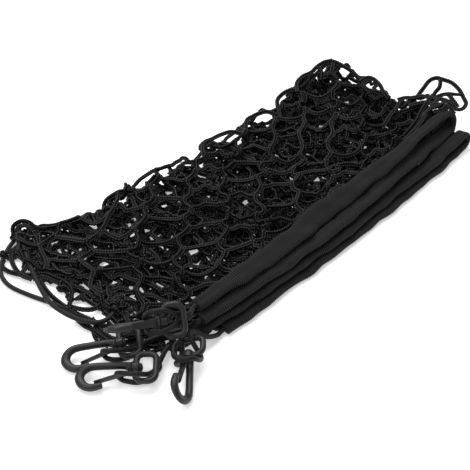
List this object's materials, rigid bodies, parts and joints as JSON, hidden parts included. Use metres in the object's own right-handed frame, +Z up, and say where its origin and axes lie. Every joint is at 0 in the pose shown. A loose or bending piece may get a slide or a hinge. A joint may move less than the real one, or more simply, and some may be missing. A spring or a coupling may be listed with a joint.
{
  "type": "cargo net",
  "caption": "Elastic mesh cargo net for a car boot, folded flat in four layers, with webbing sleeves along two sides and a snap hook at each corner.",
  "frame": {"origin": "on the floor under the middle of the folded bundle's outline, hooks included and loose cords left out", "axes": "+X along the sleeves from the hooks to the far fold, +Y from the sleeves to the back fold, +Z up"},
  "size_m": [0.4862, 0.245, 0.0441],
  "materials": {
    "netting": "matt knitted mesh",
    "sleeve_webbing": "matt ribbed tubular webbing",
    "elastic": "braided cover over rubber, dull",
    "nylon": "satin moulded nylon"
  },
  "bodies": {
    "folded_net": {"net": "netting", "sleeve_a": "sleeve_webbing", "sleeve_b": "sleeve_webbing", "side_cord_a": "elastic", "side_cord_b": "elastic", "hook_1_eye": "nylon", "hook_2_eye": "nylon", "hook_3_eye": "nylon", "hook_4_eye": "nylon", "hook_1_hitch": "elastic", "hook_2_hitch": "elastic", "hook_3_hitch": "elastic", "hook_4_hitch": "elastic"},
    "hook_1": {"hook_1_body": "nylon"},
    "hook_1_tongue": {"hook_1_gate": "nylon"},
    "hook_2": {"hook_2_body": "nylon"},
    "hook_2_tongue": {"hook_2_gate": "nylon"},
    "hook_3": {"hook_3_body": "nylon"},
    "hook_3_tongue": {"hook_3_gate": "nylon"},
    "hook_4": {"hook_4_body": "nylon"},
    "hook_4_tongue": {"hook_4_gate": "nylon"}
  },
  "joints": [
    {"name": "hook_1_swivel", "type": "hinge", "parent": "folded_net", "child": "hook_1", "pos_m": [-0.17036, -0.06, 0.032], "axis": [0.7645, -0.6437, 0.0349], "range_deg": [-30, 30]},
    {"name": "hook_1_gate_spring", "type": "hinge", "parent": "hook_1", "child": "hook_1_tongue", "pos_m": [-0.1785, -0.05772, 0.03471], "axis": [0.3971, 0.5129, 0.7611], "range_deg": [-17, 0], "stiffness_Nm_per_rad": 0.01, "springref_deg": 10},
    {"name": "hook_2_swivel", "type": "hinge", "parent": "folded_net", "child": "hook_2", "pos_m": [-0.19495, -0.0358, 0.0114], "axis": [0.7397, -0.666, 0.0958], "range_deg": [-30, 0]},
    {"name": "hook_2_gate_spring", "type": "hinge", "parent": "hook_2", "child": "hook_2_tongue", "pos_m": [-0.20344, -0.0341, 0.00941], "axis": [-0.2529, -0.1432, 0.9568], "range_deg": [-17, 0], "stiffness_Nm_per_rad": 0.01, "springref_deg": 10},
    {"name": "hook_3_swivel", "type": "hinge", "parent": "folded_net", "child": "hook_3", "pos_m": [-0.20555, -0.063, 0.0114], "axis": [0.6201, -0.7796, 0.0872], "range_deg": [-30, 0]},
    {"name": "hook_3_gate_spring", "type": "hinge", "parent": "hook_3", "child": "hook_3_tongue", "pos_m": [-0.2137, -0.05992, 0.00963], "axis": [-0.242, -0.0844, 0.9666], "range_deg": [-17, 0], "stiffness_Nm_per_rad": 0.01, "springref_deg": 10},
    {"name": "hook_4_swivel", "type": "hinge", "parent": "folded_net", "child": "hook_4", "pos_m": [-0.17075, -0.0846, 0.0114], "axis": [0.7477, 0.6409, 0.1736], "range_deg": [-30, 30]},
    {"name": "hook_4_gate_spring", "type": "hinge", "parent": "hook_4", "child": "hook_4_tongue", "pos_m": [-0.17867, -0.08787, 0.01377], "axis": [-0.4541, 0.6844, -0.5705], "range_deg": [-17, 0], "stiffness_Nm_per_rad": 0.01, "springref_deg": 10}
  ]
}
